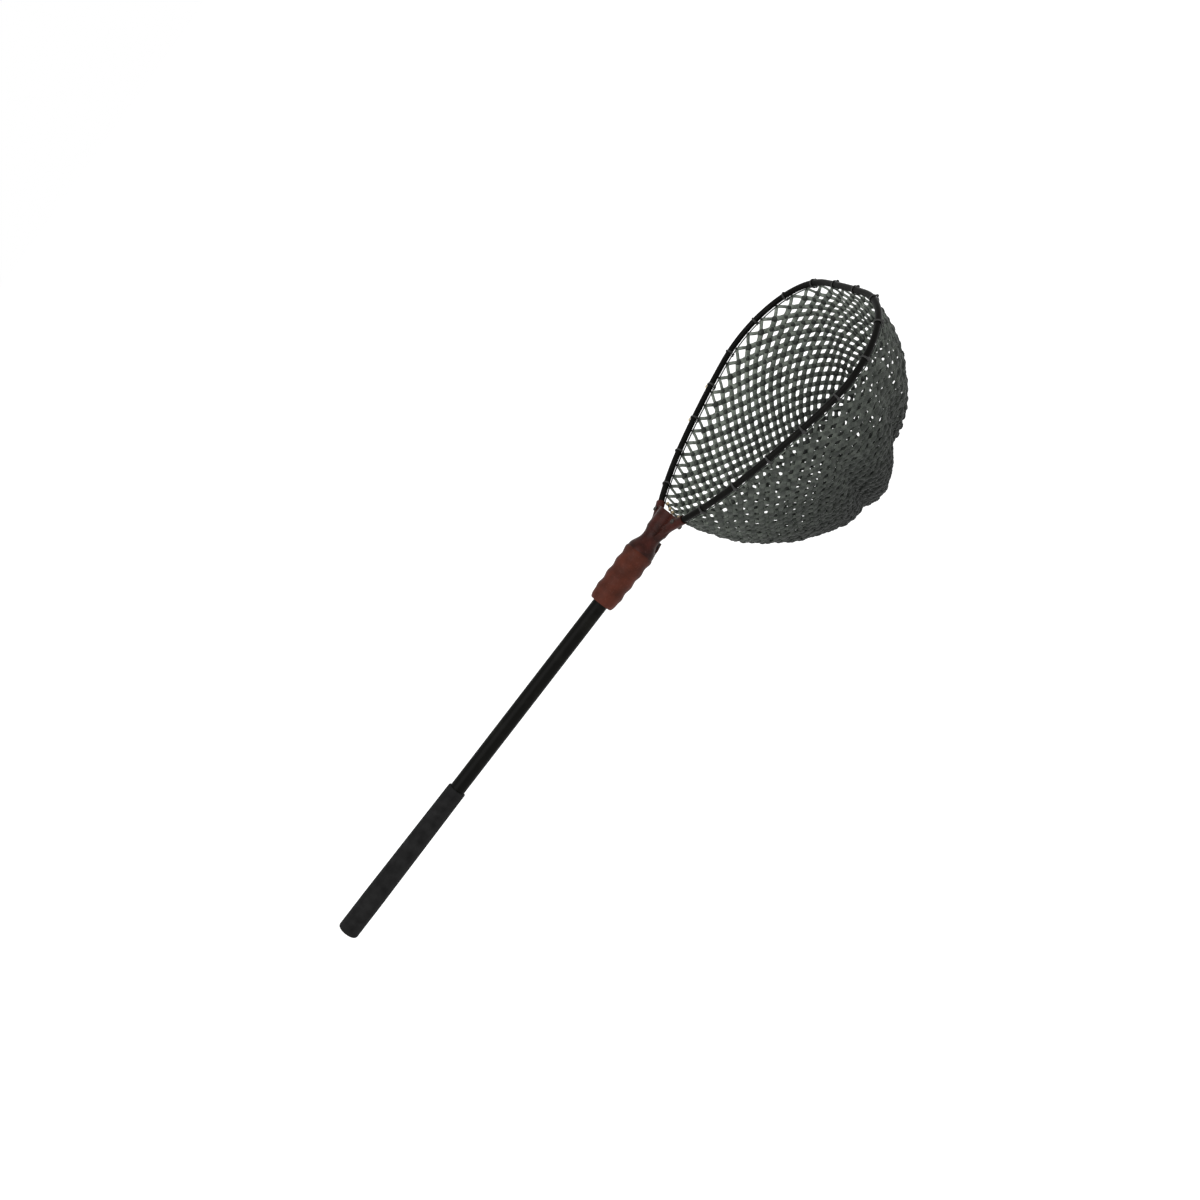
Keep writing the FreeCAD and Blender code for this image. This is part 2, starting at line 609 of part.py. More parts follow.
def rim_cord_stops():
    """Course of the cord that carries the net across the yoke, below the tube's path."""
    x = rim_points()[0].x - BAG_WALL / 2 - TIE_DIA - 2 * SOFT_CLEARANCE - CORD_DIA / 2
    side_z = -HOOP_R - CORD_DIA / 2 - SOFT_CLEARANCE
    low_z = -PATH_R - CORD_DIA / 2 - SOFT_CLEARANCE
    side_y = HOOP_ROOT_HALF + (x - MOUTH) * math.tan(math.radians(HOOP_ROOT_ANGLE))
    return [V(x, side_y, side_z), V(x, PATH_R, low_z), V(x, -PATH_R, low_z), V(x, -side_y, side_z)]


def rim_cord():
    stops = rim_cord_stops()
    pieces = [Part.makeCylinder(CORD_DIA / 2, (b - a).Length, a, b - a) for a, b in zip(stops, stops[1:])]
    pieces += [Part.makeSphere(CORD_DIA / 2, stop) for stop in stops]
    return pieces[0].fuse(pieces[1:]).removeSplitter()


def rim_ties():
    """Turns of pale twine that tie the meshes to the rim cord."""
    outer, knee = rim_cord_stops()[:2]
    centre_r = CORD_DIA / 2 + LACING_CLEARANCE + TIE_DIA / 2
    ties = []
    for share in (0.25, 0.5, 0.75):
        ring = Part.makeTorus(centre_r, TIE_DIA / 2, knee + (outer - knee) * share, outer - knee)
        ties += [ring, mirrored(ring)]
    ties.append(Part.makeTorus(centre_r, TIE_DIA / 2, V(knee.x, 0, knee.z), V(0, 1, 0)))
    return ties


def lacing():
    """Turns of twine round the hoop where the net's top meshes are tied to it."""
    flank = rim_flank()
    count = int(flank.Length / LACING_PITCH)
    centre_r = HOOP_R + LACING_CLEARANCE + LACING_DIA / 2
    turns = []
    for k in range(count):
        distance = RIM_START + (k + 0.5) * (flank.Length - RIM_START) / count
        point, tangent = place_on(flank, distance)
        ring = Part.makeTorus(centre_r, LACING_DIA / 2, point, tangent)
        turns += [ring, mirrored(ring)]
    return turns


def place_on(wire, distance):
    """Point and direction at a distance along a wire's ordered edges."""
    for edge in wire.OrderedEdges:
        if distance <= edge.Length:
            parameter = edge.getParameterByLength(distance)
            return edge.valueAt(parameter), edge.tangentAt(parameter)
        distance -= edge.Length
    return edge.valueAt(edge.LastParameter), edge.tangentAt(edge.LastParameter)


os.makedirs("parts", exist_ok=True)
save("pole_tube", pole_tube())
save("rear_grip", rear_grip())
save("butt_cap", butt_cap())
save("pole_plug", pole_plug())
save("plug_pin", plug_pin())
save("yoke", yoke())
save("front_grip", front_grip())
save("rear_bush", rear_bush())
save("front_bush", front_bush())
save("hoop", hoop())
save("hoop_screws", *hoop_screws())
save("hoop_nuts", *hoop_nuts())
save("hoop_washers", *hoop_washers())
save("trigger", trigger())
save("trigger_pin", trigger_pin())
save("trigger_spring", trigger_spring())
save("net_bag", net_bag())
save("hanging_row", hanging_row())
save("rim_cord", rim_cord())
save("rim_ties", *rim_ties())
save("lacing", *lacing())
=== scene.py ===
# %% [markdown]
# # A landing net, from frame to finish
# The net is a black tube with a rubber grip, a maroon yoke that slides on it, a light hoop and a
# knotted bag.  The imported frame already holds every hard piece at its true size.  This lesson
# gives those pieces their finishes, and then makes the soft ones, which are the netting, the cords
# and the ties, from formulas.

# %% Open the frame
import bpy
import json
import math
import numpy as np
from mathutils import Matrix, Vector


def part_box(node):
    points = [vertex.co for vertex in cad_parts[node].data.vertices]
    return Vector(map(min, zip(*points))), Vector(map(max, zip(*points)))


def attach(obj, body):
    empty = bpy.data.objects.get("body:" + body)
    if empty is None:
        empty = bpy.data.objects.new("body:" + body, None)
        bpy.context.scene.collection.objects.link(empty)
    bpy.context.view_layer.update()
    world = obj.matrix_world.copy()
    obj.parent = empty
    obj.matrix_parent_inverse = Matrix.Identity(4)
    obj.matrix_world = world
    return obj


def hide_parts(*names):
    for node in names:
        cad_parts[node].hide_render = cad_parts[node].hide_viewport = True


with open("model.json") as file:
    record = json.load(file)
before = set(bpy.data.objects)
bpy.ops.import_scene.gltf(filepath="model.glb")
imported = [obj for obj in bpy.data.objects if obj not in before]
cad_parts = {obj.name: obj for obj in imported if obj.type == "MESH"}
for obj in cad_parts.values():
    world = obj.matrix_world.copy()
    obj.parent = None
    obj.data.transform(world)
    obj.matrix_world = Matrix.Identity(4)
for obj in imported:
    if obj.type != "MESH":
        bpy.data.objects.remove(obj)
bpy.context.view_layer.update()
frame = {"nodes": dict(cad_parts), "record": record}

chance = np.random.default_rng(7)

# %% [markdown]
# ## Where we stand
# We look down on the net from its right side, with the butt at the lower left.  A camera is three
# directions and a distance.  We turn the view's azimuth and elevation into a sight line, take
# its right and its down, and roll the pair.

# %% The camera
SIGHT_AZIMUTH = -4.72
SIGHT_ELEVATION = 25.97
SIGHT_ROLL = -54.44
SIGHT_DISTANCE = 2.2
FOCAL_TO_WIDTH = 1.15575
SENSOR_WIDTH = 36
BUTT_RIGHT, BUTT_DOWN = -0.40057, 0.52614
BUTT = np.array([-0.036, 0.0, 0.0])


def sight_frame():
    """Right, down and forward of the view, as unit rows.  Forward follows azimuth and elevation,
    right is forward crossed with up, down is forward crossed with right, and then the roll mixes
    right and down by its cosine and sine."""
    a, e, r = (math.radians(v) for v in (SIGHT_AZIMUTH, SIGHT_ELEVATION, SIGHT_ROLL))
    forward = np.array([math.sin(a) * math.cos(e), math.cos(a) * math.cos(e), -math.sin(e)])
    right = np.cross(forward, (0, 0, 1))
    right /= np.linalg.norm(right)
    down = np.cross(forward, right)
    return np.array([math.cos(r) * right - math.sin(r) * down,
                     math.sin(r) * right + math.cos(r) * down, forward])


right, down, forward = sight_frame()
eye = BUTT - BUTT_RIGHT * right - BUTT_DOWN * down - SIGHT_DISTANCE * forward
camera_data = bpy.data.cameras.new("camera")
camera_data.sensor_width = SENSOR_WIDTH
camera_data.lens = SENSOR_WIDTH * FOCAL_TO_WIDTH
camera = bpy.data.objects.new("camera", camera_data)
bpy.context.scene.collection.objects.link(camera)
pose = np.eye(4)
pose[:3, 0], pose[:3, 1], pose[:3, 2], pose[:3, 3] = right, -down, -forward, eye
camera.matrix_world = Matrix(pose.tolist())
bpy.context.scene.camera = camera
print("camera at", np.round(eye, 3), "lens", round(camera_data.lens, 2))

# %% [markdown]
# ## Formulas that become materials
# A finish is a small graph of nodes.  Wiring nodes by hand hides the idea, so one class wraps a
# node's outlet and lets us write sums with + - * /, and another makes any node in one call.

# %% A signal and a finish


class Signal:
    """A value flowing through a material.  Arithmetic on it adds Math nodes, either way round."""

    def __init__(self, finish, socket):
        self.finish, self.socket = finish, socket

    def math(self, operation, *others):
        return self.finish.node("ShaderNodeMath", {k: v for k, v in enumerate((self,) + others)},
                                operation=operation)

    def _flipped(self, operation, other):
        return self.finish.node("ShaderNodeMath", {0: other, 1: self}, operation=operation)

    def __add__(self, other): return self.math("ADD", other)
    def __sub__(self, other): return self.math("SUBTRACT", other)
    def __mul__(self, other): return self.math("MULTIPLY", other)
    def __truediv__(self, other): return self.math("DIVIDE", other)
    def __pow__(self, other): return self.math("POWER", other)
    def __radd__(self, other): return self._flipped("ADD", other)
    def __rsub__(self, other): return self._flipped("SUBTRACT", other)
    def __rmul__(self, other): return self._flipped("MULTIPLY", other)
    def __rtruediv__(self, other): return self._flipped("DIVIDE", other)

    def sin(self): return self.math("SINE")
    def clamped(self): return self.finish.node("ShaderNodeClamp", {0: self})
    def part(self, axis): return self.finish.node("ShaderNodeSeparateXYZ", {0: self}, outlet=axis)


class Finish:
    """A material under construction: one Principled surface and the nodes that feed it."""

    def __init__(self, name, colour, roughness, **constants):
        self.material = bpy.data.materials.new(name)
        self.material.use_nodes = True
        self.tree = self.material.node_tree
        self.tree.nodes.clear()
        output = self.tree.nodes.new("ShaderNodeOutputMaterial")
        self.surface = self.tree.nodes.new("ShaderNodeBsdfPrincipled")
        self.tree.links.new(self.surface.outputs[0], output.inputs[0])
        self.set(base_color=colour, roughness=roughness, **constants)
        self.material.diffuse_color = colour

    def feed(self, socket, value):
        if isinstance(value, Signal):
            self.tree.links.new(value.socket, socket)
        else:
            socket.default_value = value

    def node(self, kind, inlets=None, outlet=0, **settings):
        """Any node: its settings first, then its inlets by name or number, then one outlet."""
        made = self.tree.nodes.new(kind)
        for key, value in settings.items():
            setattr(made, key, value)
        for key, value in (inlets or {}).items():
            self.feed(made.inputs[key], value)
        return Signal(self, made.outputs[outlet])

    def set(self, **inlets):
        for key, value in inlets.items():
            self.feed(self.surface.inputs[key.replace("_", " ").title().replace("Ior", "IOR")], value)
        return self

    def place(self):
        return self.node("ShaderNodeTexCoord", outlet="Object")

    def along(self):
        return self.node("ShaderNodeUVMap")

    def noise(self, scale, detail=3.0, roughness=0.55, where=None, stretch=(1, 1, 1)):
        spot = self.node("ShaderNodeMapping", {0: where or self.place(), 3: stretch})
        return self.node("ShaderNodeTexNoise", {"Vector": spot, "Scale": scale, "Detail": detail,
                                                "Roughness": roughness})

    def blend(self, share, first, second):
        """Colour between first and second, by a share from 0 to 1."""
        return self.node("ShaderNodeMix", {0: share, 6: first, 7: second}, outlet=2, data_type="RGBA")

    def bump(self, height, depth, strength=1.0):
        self.set(normal=self.node("ShaderNodeBump", {"Height": height, "Distance": depth,
                                                     "Strength": strength}))
        return self


def spread(signal, low, high):
    """Stretch low..high to 0..1 and clamp: (signal - low) / (high - low)."""
    return ((signal - low) / (high - low)).clamped()


print("finishes are made by", Finish.__name__)

# %% [markdown]
# ## The tube, the grips and the yoke
# - The tube is dark anodised metal: nearly black, satin, with a fine grain along its length.
# - The rear grip is moulded rubber foam: charcoal, matt and slightly mottled.
# - The yoke is glass-filled nylon, a brown maroon with a soft shine and darker, dusty lows.
# - The finger grip is softer rubber of the same family, a little redder.

# %% Finishes of the hard pieces


def tube_finish():
    """Black with a grain stretched along the tube, and a few paler, rougher scuffs."""
    f = Finish("black_tube", (0.004, 0.004, 0.0035, 1), 0.34, specular_ior_level=0.04)
    grain = f.noise(300, where=f.place(), stretch=(0.04, 1, 1))
    scuff = spread(f.noise(35, detail=6), 0.55, 0.75)
    f.set(base_color=f.blend(scuff * 0.5, (0.003, 0.003, 0.0025, 1), (0.011, 0.011, 0.009, 1)),
          roughness=0.28 + grain * 0.16 + scuff * 0.10)
    return f.bump(grain, 0.00012, 0.5).material


def rubber_finish():
    """Charcoal foam: a cell pattern in the bump, and a mottle in the colour and the gloss."""
    f = Finish("charcoal_rubber", (0.008, 0.008, 0.008, 1), 0.72, specular_ior_level=0.06)
    cells = f.node("ShaderNodeTexVoronoi", {"Vector": f.place(), "Scale": 900.0})
    mottle = spread(f.noise(60, detail=5), 0.35, 0.7)
    f.set(base_color=f.blend(mottle, (0.0045, 0.0045, 0.0045, 1), (0.013, 0.013, 0.013, 1)),
          roughness=0.62 + mottle * 0.2)
    return f.bump(cells * 0.6 + mottle * 0.4, 0.0004, 0.55).material


def maroon_finish(name, low, high, roughness, grain_depth):
    """Maroon from low to high in soft clouds, with dusty specks and a moulded grain."""
    f = Finish(name, high, roughness, specular_ior_level=0.08)
    cloud = spread(f.noise(38, detail=5), 0.36, 0.66)
    grain = f.noise(1400, detail=2)
    speck = spread(f.noise(420, detail=2), 0.60, 0.72)
    dusty = tuple(0.6 * a + 0.4 * b for a, b in zip(high, (0.09, 0.06, 0.055, 1)))
    body = f.blend(cloud, low, high)
    f.set(base_color=f.blend(speck * 0.35, body, dusty), roughness=roughness - 0.08 + grain * 0.16)
    return f.bump(grain * 0.7 + cloud * 0.6, grain_depth, 0.5).material


def nylon_finish():
    """Black nylon with a fine grain and paler wear."""
    f = Finish("black_nylon", (0.006, 0.006, 0.006, 1), 0.45, specular_ior_level=0.08)
    grain = f.noise(1100, detail=2)
    wear = spread(f.noise(120), 0.5, 0.7)
    f.set(base_color=f.blend(wear, (0.004, 0.004, 0.004, 1), (0.012, 0.012, 0.012, 1)),
          roughness=0.38 + grain * 0.18)
    return f.bump(grain, 0.0002, 0.4).material


def steel_finish():
    """Dark brushed steel with brown tarnish."""
    f = Finish("steel", (0.12, 0.11, 0.10, 1), 0.42, metallic=1.0)
    brush = f.noise(600, stretch=(1, 0.1, 1))
    tarnish = spread(f.noise(180), 0.45, 0.7)
    f.set(base_color=f.blend(tarnish, (0.06, 0.055, 0.05, 1), (0.03, 0.022, 0.018, 1)),
          roughness=0.26 + brush * 0.2)
    return f.bump(brush, 0.0001, 0.4).material


finishes = {
    "black_tube": tube_finish(),
    "charcoal_rubber": rubber_finish(),
    "maroon_nylon": maroon_finish("maroon_nylon", (0.015, 0.0042, 0.0028, 1),
                                  (0.044, 0.0105, 0.0075, 1), 0.36, 0.0003),
    "maroon_rubber": maroon_finish("maroon_rubber", (0.034, 0.0085, 0.0045, 1),
                                   (0.070, 0.0165, 0.0090, 1), 0.5, 0.0004),
    "trigger_nylon": maroon_finish("trigger_nylon", (0.020, 0.006, 0.004, 1),
                                   (0.040, 0.010, 0.007, 1), 0.45, 0.0002),
    "black_nylon": nylon_finish(),
    "steel": steel_finish(),
}
print("finishes", sorted(finishes))

# %% [markdown]
# ## Dressing the frame
# Each hard node keeps its own mesh and takes the finish that its record's slot names.

# %% Finish for every hard node
slot_of = {entry["node"]: entry["material_slot"] for entry in frame["record"]["subparts"]}
for name, node in frame["nodes"].items():
    if slot_of.get(name) in finishes:
        node.data.materials.clear()
        node.data.materials.append(finishes[slot_of[name]])
print("dressed", sorted(n for n in frame["nodes"] if slot_of.get(n) in finishes))
print("left for soft pieces", sorted(n for n in frame["nodes"] if slot_of.get(n) not in finishes))

# %% [markdown]
# ## Many cords at once
# Netting is thousands of short cords.  One function carries an oval ring along any number of
# paths together, as one array, and another sets rounded lumps at many places.

# %% Cords and lumps


def unit(v):
    return v / np.maximum(np.linalg.norm(v, axis=-1, keepdims=True), 1e-12)


def tangents(paths, closed):
    """Direction at each station: the next point minus the last, wrapping where it is closed."""
    if closed:
        return unit(np.roll(paths, -1, 1) - np.roll(paths, 1, 1))
    return unit(np.gradient(paths, axis=1))


def cords(paths, normals, width, depth, sides=6, closed=False, first=0):
    """Oval tubes along paths[cord, station].  Ring point k is the path's point plus
    width * cos(turn k) along the side plus depth * sin(turn k) along the normal, where the side is
    the normal crossed with the tangent.  Returns points, faces and the UV of every face corner:
    u goes along the cord in metres, and v once round it, its first half on the normal's side."""
    count, stations = paths.shape[:2]
    along = tangents(paths, closed)
    side = unit(np.cross(normals, along))
    normal = np.cross(along, side)
    turn = 2 * np.pi * np.arange(sides) / sides
    width, depth = (np.broadcast_to(np.asarray(v, float), (count, stations)) for v in (width, depth))
    ring = (width[..., None, None] * np.cos(turn)[:, None] * side[:, :, None]
            + depth[..., None, None] * np.sin(turn)[:, None] * normal[:, :, None])
    points = (paths[:, :, None] + ring).reshape(-1, 3)
    runs = stations if closed else stations - 1
    c, s, k = np.meshgrid(np.arange(count), np.arange(runs), np.arange(sides), indexing="ij")
    here, ahead, beside = s, (s + 1) % stations, (k + 1) % sides
    at = lambda row, column: (c * stations + row) * sides + column
    quads = np.stack([at(here, k), at(here, beside), at(ahead, beside), at(ahead, k)], -1).reshape(-1, 4)
    length = np.concatenate([np.zeros((count, 1)), np.cumsum(
        np.linalg.norm(np.diff(paths, axis=1), axis=-1), 1)], 1)
    if closed:
        length = np.concatenate([length, length[:, -1:] + length[:, 1:2]], 1)
    u0, u1 = length[c, s], length[c, s + 1]
    v0, v1 = k / sides, (k + 1) / sides
    uv = np.stack([u0, v0, u0, v1, u1, v1, u1, v0], -1).reshape(-1, 2)
    faces = [quads + first]
    if not closed:
        cap = np.arange(sides)
        start = (np.arange(count) * stations * sides)[:, None] + cap[::-1]
        end = start[:, ::-1] + (stations - 1) * sides
        faces.append(np.concatenate([start, end]) + first)
        uv = np.concatenate([uv, np.zeros((2 * count * sides, 2))])
    return points, faces, uv


def lumps(centres, first_axis, second_axis, third_axis, sides=6, bands=4, first=0):
    """Ellipsoids: a point at latitude a and longitude b is the centre plus cos a cos b times the
    first axis, cos a sin b times the second and sin a times the third.  The poles are fans.  The
    third axis is turned round where the three are left-handed.  The UV is (-1, 0) all over, which
    marks a lump for the finishes."""
    a = np.pi * (np.arange(1, bands) / bands - 0.5)
    b = 2 * np.pi * np.arange(sides) / sides
    grid = np.stack([np.outer(np.cos(a), np.cos(b)), np.outer(np.cos(a), np.sin(b)),
                     np.outer(np.sin(a), np.ones(sides))], -1).reshape(-1, 3)
    shape = np.concatenate([grid, [[0, 0, -1], [0, 0, 1]]])
    axes = np.stack(np.broadcast_arrays(first_axis, second_axis, third_axis), 1).astype(float)
    axes[:, 2] *= np.sign(np.linalg.det(axes))[:, None]
    points = (centres[:, None] + np.einsum("pj,cjx->cpx", shape, axes)).reshape(-1, 3)
    size, rows = len(shape), bands - 1
    row, k = np.meshgrid(np.arange(rows - 1), np.arange(sides), indexing="ij")
    beside = (k + 1) % sides
    quads = np.stack([row * sides + k, row * sides + beside, (row + 1) * sides + beside,
                      (row + 1) * sides + k], -1).reshape(-1, 4)
    k = np.arange(sides)
    low = np.stack([np.full(sides, rows * sides), (k + 1) % sides, k], -1)
    top = (rows - 1) * sides
    high = np.stack([np.full(sides, rows * sides + 1), top + k, top + (k + 1) % sides], -1)
    shift = (np.arange(len(centres)) * size)[:, None, None] + first
    faces = [(quads[None] + shift).reshape(-1, 4), (np.concatenate([low, high])[None] + shift).reshape(-1, 3)]
    return points, faces, np.tile([-1.0, 0.0], (sum(f.size for f in faces), 1))


def piece(name, parts, material, body, slot, replaces=()):
    """One object from parts of (points, faces, uv), smooth, dressed, riding on its body."""
    points, faces, uvs, first = [], [], [], 0
    for p, fs, uv in parts:
        points.append(p)
        faces += [f + first for f in fs]
        uvs.append(uv)
        first += len(p)
    mesh = bpy.data.meshes.new(name)
    mesh.vertices.add(first)
    mesh.vertices.foreach_set("co", np.concatenate(points).astype(np.float32).ravel())
    corners = np.concatenate([f.ravel() for f in faces])
    sizes = np.concatenate([np.full(len(f), f.shape[1]) for f in faces])
    mesh.loops.add(len(corners))
    mesh.loops.foreach_set("vertex_index", corners.astype(np.int32))
    mesh.polygons.add(len(sizes))
    mesh.polygons.foreach_set("loop_start", (np.cumsum(sizes) - sizes).astype(np.int32))
    mesh.polygons.foreach_set("use_smooth", np.ones(len(sizes), bool))
    mesh.uv_layers.new(name="UVMap").data.foreach_set("uv", np.concatenate(uvs).astype(np.float32).ravel())
    mesh.update(calc_edges=True)
    mesh.validate()
    mesh.materials.append(material)
    obj = bpy.data.objects.new(name, mesh)
    bpy.context.scene.collection.objects.link(obj)
    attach(obj, body)
    if replaces:
        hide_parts(*replaces)
    print(name, "points", first, "triangles", int((sizes - 2).sum()))


print("makers ready:", cords.__name__, lumps.__name__, piece.__name__)

# %% [markdown]
# ## The hoop's course
# The netting follows the hoop, so we need the hoop's centre line as a formula.  It is a chain of
# arcs.  A chain of arcs is a heading that changes steadily, so we add up tiny steps along it.

# %% The hoop's course
MOUTH_X = 0.8037
ROOT_HALF = 0.0494
ROOT_HEADING = 44.2
SIDE_ARCS = [(0.439, 15.3), (1.007, 9.6), (0.135, 106.8)]
TIP_TURN = 2.5
PATH_R = 0.0155
RIM_START = 0.006


def flank_course(samples=4000):
    """One side of the hoop from its socket to the tip: distance, x and y.  The heading starts at
    ROOT_HEADING degrees and falls by distance over radius in each arc of (radius, degrees).  The
    last arc's radius brings the heading square to the axis just as the line reaches it."""
    heading, x, y = math.radians(ROOT_HEADING), MOUTH_X, ROOT_HALF
    for radius, turn in SIDE_ARCS:
        angle = math.radians(turn)
        x += radius * (math.sin(heading) - math.sin(heading - angle))
        y += radius * (math.cos(heading - angle) - math.cos(heading))
        heading -= angle
    arcs = SIDE_ARCS + [(y / math.sin(math.radians(TIP_TURN)), TIP_TURN)]
    lengths = [radius * math.radians(turn) for radius, turn in arcs]
    distance = np.linspace(0, sum(lengths), samples)
    knots = np.concatenate([[0], np.cumsum(lengths)])
    turned = np.concatenate([[0], np.cumsum([turn for _, turn in arcs])])
    headings = np.radians(ROOT_HEADING - turned)
    direction = np.interp(distance, knots, headings)
    middle = (direction[1:] + direction[:-1]) / 2
    step = np.diff(distance)
    x = MOUTH_X + np.concatenate([[0], np.cumsum(step * np.cos(middle))])
    y = ROOT_HALF + np.concatenate([[0], np.cumsum(step * np.sin(middle))])
    return distance, x, y


flank_s, flank_x, flank_y = flank_course()
FLANK = flank_s[-1]


def on_hoop(distance):
    """Points of the hoop's centre line at distances from the left socket round to the right one:
    past the tip it is the mirror of the first side."""
    d = np.where(distance <= FLANK, distance, 2 * FLANK - distance)
    x, y = np.interp(d, flank_s, flank_x), np.interp(d, flank_s, flank_y)
    return np.stack([x, np.where(distance <= FLANK, y, -y), np.zeros_like(x)], -1)


print("one side of the hoop", round(FLANK, 4), "m, tip at x", round(float(flank_x[-1]), 4))

# %% [markdown]
# ## The netting
# The bag is diamond meshes tied from thick coated twine.  A cloth sheet with a picture of a net
# would look flat, because at this size each mesh is as deep as it is wide, so every bar and knot
# is modelled.  First comes a lattice of knots on the bag's outline.  Each row is shifted by half a
# mesh, and rows stand a fixed step apart down the bag: where the bag draws in, the
# diamonds narrow while the rows keep their distance, as in a net that is knotted to shape.

# %% The bag's lattice of knots
MESHES_ROUND = 48
CROWDING = 0.30
ROW_STEP = 0.0086
BAG_TOP = -0.0070
BAG_DEPTH = 0.258
BAG_LEAN = 0.185
BAG_FORWARD = 0.0207
FALL_POWER, ROUND_POWER = 1.606, 0.695
MEAN_RADIUS = 0.19
FIRST_ROW = 0.0150
LAST_MARGIN = 0.006
INSET = 0.004
LINE_DROP = 0.0078
PATH_DIP = 0.0110
BOW, BOW_HALF = 0.007, 0.043
CORD_X = float(np.interp(RIM_START, flank_s, flank_x))
CORD_Y = float(np.interp(RIM_START, flank_s, flank_y))


def bow(y):
    """How far the line across the yoke lies back towards it: BOW * (1 - (y / BOW_HALF)^4), or none
    outside that width, where the hoop's sockets are."""
    return BOW * np.clip(1 - (np.abs(y) / BOW_HALF) ** 4, 0, 1)


def mouth_outline(share):
    """The line that the net hangs from, by its share of one turn from the middle of the yoke:
    across in front of the yoke to the hoop, along it, and back the other way."""
    turn = 2 * (FLANK - RIM_START) + 2 * CORD_Y
    d = (share % 1.0) * turn
    across = np.where(d < CORD_Y, d, d - turn)
    hoop = on_hoop(np.clip(d - CORD_Y, 0, 2 * (FLANK - RIM_START)) + RIM_START)
    flat = (d < CORD_Y) | (d > turn - CORD_Y)
    x = np.where(flat, CORD_X - bow(across), hoop[..., 0])
    y = np.where(flat, across, hoop[..., 1])
    return x, y


def hang_height(x, y):
    """How low the top meshes start: under the hoop, and lower under the tube's way out."""
    dip = np.clip((CORD_Y - np.abs(y)) / (CORD_Y - PATH_R), 0, 1) * np.clip((0.83 - x) / 0.015, 0, 1)
    return -LINE_DROP - PATH_DIP * dip


def drawn_in(share):
    """How much of the mouth's outline is left at a share of the depth: one minus the share to the
    FALL_POWER, and that to the ROUND_POWER."""
    return np.maximum(1 - np.clip(share, 0, 1) ** FALL_POWER, 0) ** ROUND_POWER


def row_shares():
    """Depth shares of the rows, a fixed step apart along a meridian of the mean radius."""
    t = 1 - (1 - np.linspace(0, 1, 6000)) ** 2.5
    r, z = MEAN_RADIUS * drawn_in(t), -BAG_DEPTH * t
    s = np.concatenate([[0], np.cumsum(np.hypot(np.diff(r), np.diff(z)))])
    return np.interp(np.arange(FIRST_ROW, s[-1] - LAST_MARGIN, ROW_STEP), s, t)


rows = row_shares()
ROWS = len(rows)
shift = 0.5 * (np.arange(ROWS) % 2)
even = (np.arange(MESHES_ROUND)[None] + shift[:, None]) / MESHES_ROUND


def crowded(share):
    """Meshes crowd towards the yoke: share - crowding * sin(2 pi share) / (2 pi)."""
    return share - CROWDING * np.sin(2 * np.pi * share) / (2 * np.pi)


around = crowded(even)
rim_x, rim_y = mouth_outline(around)
centre_x = (CORD_X + float(flank_x[-1])) / 2
size = drawn_in(rows)[:, None] - INSET
out_x = (rim_x - centre_x) * size
deep = BAG_DEPTH * rows[:, None] * (1 - BAG_LEAN * out_x / 0.2)
knots = np.stack([centre_x + out_x + BAG_FORWARD * rows[:, None] ** 1.5, rim_y * size,
                  BAG_TOP - deep], -1)
anchor_around = crowded((np.arange(MESHES_ROUND) + 0.5) / MESHES_ROUND)
ax, ay = mouth_outline(anchor_around)
anchors = np.stack([ax, ay, hang_height(ax, ay)], -1)
print("rows", ROWS, "knots", knots[..., 0].size, "last row at", round(float(rows[-1]), 3))

# %% [markdown]
# ## Letting it hang
# A net tied to a perfect form looks stamped.  We give the bars a little spare length, shake the
# knots by a hair, and let gravity pull while every bar that is too long is pulled short again.  It
# is the oldest cloth solver: move, correct each bar by half its error at both ends, repeat.

# %% Hang the net
everything = np.concatenate([anchors[None], knots])
LEVELS = ROWS + 1


def index(level, mesh):
    return level * MESHES_ROUND + mesh % MESHES_ROUND


level, mesh = np.meshgrid(np.arange(LEVELS - 1), np.arange(MESHES_ROUND), indexing="ij")
# level 0 is the anchors, which stand half a mesh on, as every odd-numbered row does
ahead = np.where(level % 2 == 0, mesh + 1, mesh)
behind = ahead - 1
bars = np.concatenate([np.stack([index(level, mesh), index(level + 1, ahead)], -1).reshape(-1, 2),
                       np.stack([index(level, mesh), index(level + 1, behind)], -1).reshape(-1, 2)])
level2, mesh2 = np.meshgrid(np.arange(LEVELS), np.arange(MESHES_ROUND), indexing="ij")
braces = np.stack([index(level2, mesh2), index(level2, mesh2 + 1)], -1).reshape(-1, 2)


def pull(points, pairs, rest, give, slack_ok):
    """Move both ends of every pair by half its error times give, averaged at each point."""
    gap = points[pairs[:, 1]] - points[pairs[:, 0]]
    length = np.linalg.norm(gap, axis=1)
    error = (length - rest) * give
    if slack_ok:
        error = np.where(error > 0, error, 0.25 * error)
    step = gap / length[:, None] * (error / 2)[:, None]
    count = np.bincount(pairs.ravel(), minlength=len(points))
    moved = np.stack([np.bincount(pairs[:, 0], step[:, a], len(points))
                      - np.bincount(pairs[:, 1], step[:, a], len(points)) for a in range(3)], -1)
    return points + moved / np.maximum(count, 1)[:, None] * 2


def hang(points, passes=120, fall=0.00006, fullness=1.012):
    """Gravity moves every knot down by fall, then bars and braces are pulled back to length."""
    held = np.arange(len(points)) < MESHES_ROUND
    start = points.copy()
    bar_rest = np.linalg.norm(points[bars[:, 1]] - points[bars[:, 0]], axis=1) * fullness
    brace_rest = np.linalg.norm(points[braces[:, 1]] - points[braces[:, 0]], axis=1)
    points = points + np.where(held[:, None], 0, chance.normal(0, 0.0012, points.shape))
    for _ in range(passes):
        points[:, 2] -= fall
        points = pull(points, bars, bar_rest, 1.0, True)
        points = pull(points, braces, brace_rest, 0.35, False)
        points[held] = start[held]
    return points


